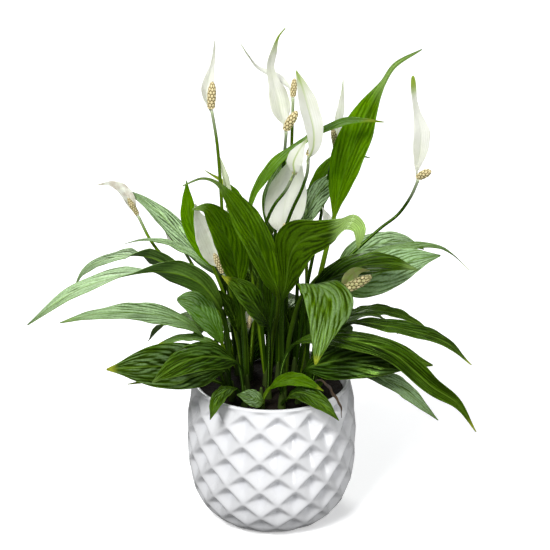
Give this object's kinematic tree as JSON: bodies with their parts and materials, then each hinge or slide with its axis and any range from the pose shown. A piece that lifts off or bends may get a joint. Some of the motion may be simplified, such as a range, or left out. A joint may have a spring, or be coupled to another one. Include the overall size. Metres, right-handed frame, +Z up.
{
  "type": "potted peace lily",
  "caption": "Peace lily with long glossy leaves and white spathes, standing in a round glazed pot with sunken diamonds.",
  "frame": {"origin": "centre of the pot's flat base", "axes": "+Z up along the pot's axis, -Y towards the front of the plant, +X to its right"},
  "size_m": [0.3907, 0.2519, 0.4434],
  "materials": {
    "glaze": "white glazed ceramic, glossy",
    "soil": "dark, damp potting mix",
    "leaf": "glossy deep green leaf with sunken side veins",
    "spathe": "soft white bract, faintly green at the midrib and tip",
    "spadix": "cream florets with brown between them",
    "withered_leaf": "dry brown leaf"
  },
  "bodies": {
    "root": {"pot": "glaze", "potting_soil": "soil", "shoot_left_arches": "leaf", "shoot_left_behind": "leaf", "shoot_back_left": "leaf", "shoot_front_left_low": "leaf", "shoot_front_left_lip": "leaf", "shoot_left_slim": "leaf", "shoot_centre_left": "leaf", "shoot_dark_upright": "leaf", "shoot_tall_left": "leaf", "shoot_centre_arch": "leaf", "shoot_front_small": "leaf", "shoot_front_right_lip": "leaf", "shoot_front_right_broad": "leaf", "shoot_front_centre": "leaf", "shoot_right_dark": "leaf", "shoot_right_striped": "leaf", "shoot_right_back": "leaf", "shoot_right_low": "leaf", "shoot_tall_right": "leaf", "shoot_back_arch": "leaf", "shoot_centre_blooms": "leaf", "shoot_centre_back": "leaf", "shoot_back_right": "leaf", "shoot_far_back_right": "leaf", "shoot_withered": "withered_leaf", "shoot_rear_left": "leaf", "shoot_rear_centre": "leaf", "shoot_rear_right": "leaf", "spathe_brown": "spathe", "spadix_brown": "spadix", "spathe_small_left": "spathe", "spadix_small_left": "spadix", "spathe_cream": "spathe", "spadix_cream": "spadix", "spathe_low_white": "spathe", "spadix_low_white": "spadix", "spathe_tall": "spathe", "spadix_tall": "spadix", "spathe_bud": "spathe", "spathe_greenish": "spathe", "spadix_greenish": "spadix", "spathe_far": "spathe", "spadix_far": "spadix", "spathe_cup": "spathe", "spadix_cup": "spadix", "spathe_big_behind": "spathe", "spadix_big_behind": "spadix", "spathe_large": "spathe", "spadix_large": "spadix", "spathe_hooded": "spathe", "spadix_hooded": "spadix", "spathe_leaning": "spathe", "spadix_leaning": "spadix", "spathe_upright": "spathe", "spadix_upright": "spadix", "spathe_small_back": "spathe", "spadix_small_back": "spadix"}
  },
  "joints": []
}
